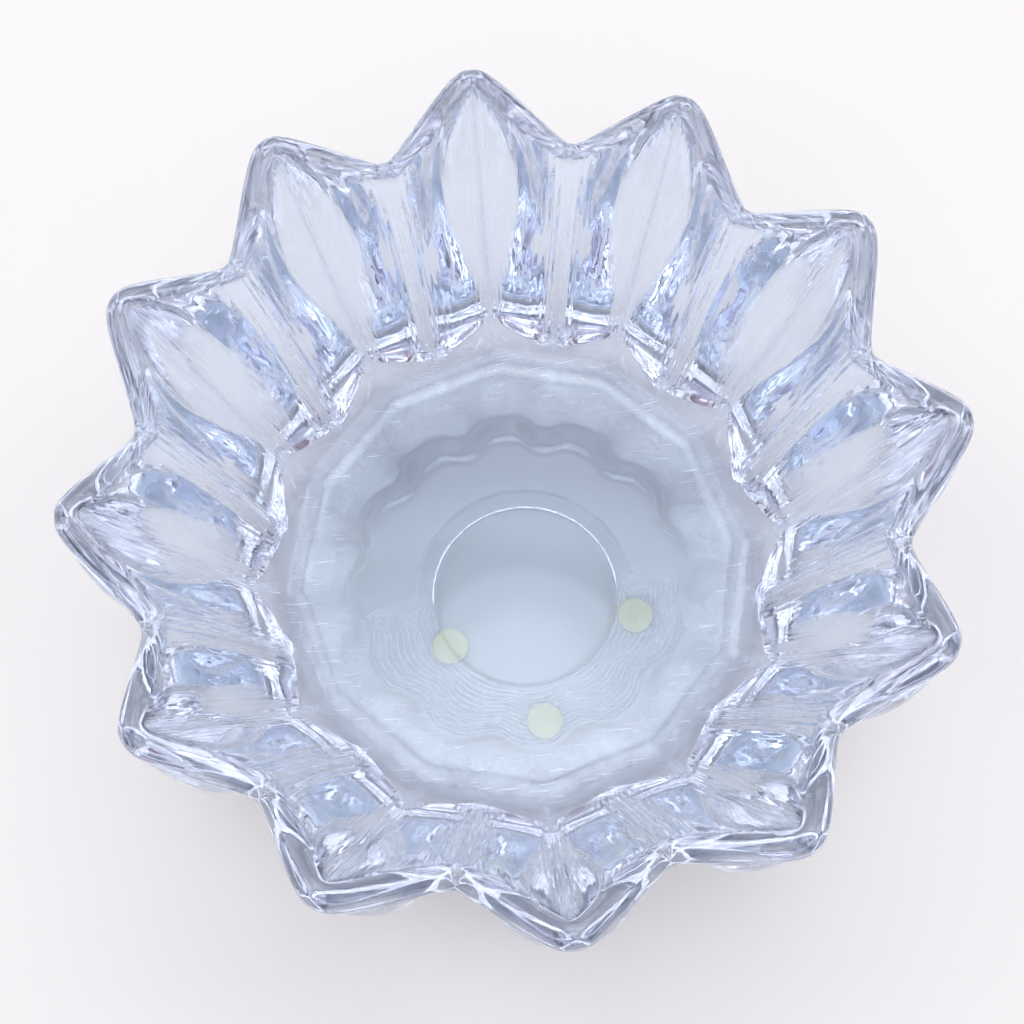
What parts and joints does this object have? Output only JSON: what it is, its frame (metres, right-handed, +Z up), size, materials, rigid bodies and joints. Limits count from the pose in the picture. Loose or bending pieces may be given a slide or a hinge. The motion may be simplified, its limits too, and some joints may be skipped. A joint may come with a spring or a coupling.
{
  "type": "floating candle bowl",
  "caption": "Open crystal bowl with a pleated, flared wall and a star-shaped rim, on small stick-on feet; holds water and floating candles.",
  "frame": {"origin": "on the bowl's axis, in the plane of the table that the bumper feet stand on", "axes": "+Z up along the bowl's axis; +X towards one of the rim's points"},
  "size_m": [0.203, 0.203, 0.103],
  "materials": {
    "crystal": "fire-polished",
    "bumper": "satin"
  },
  "bodies": {
    "root": {"glass_bowl": "crystal", "bumper_left": "bumper", "bumper_right": "bumper", "bumper_front": "bumper"}
  },
  "joints": []
}
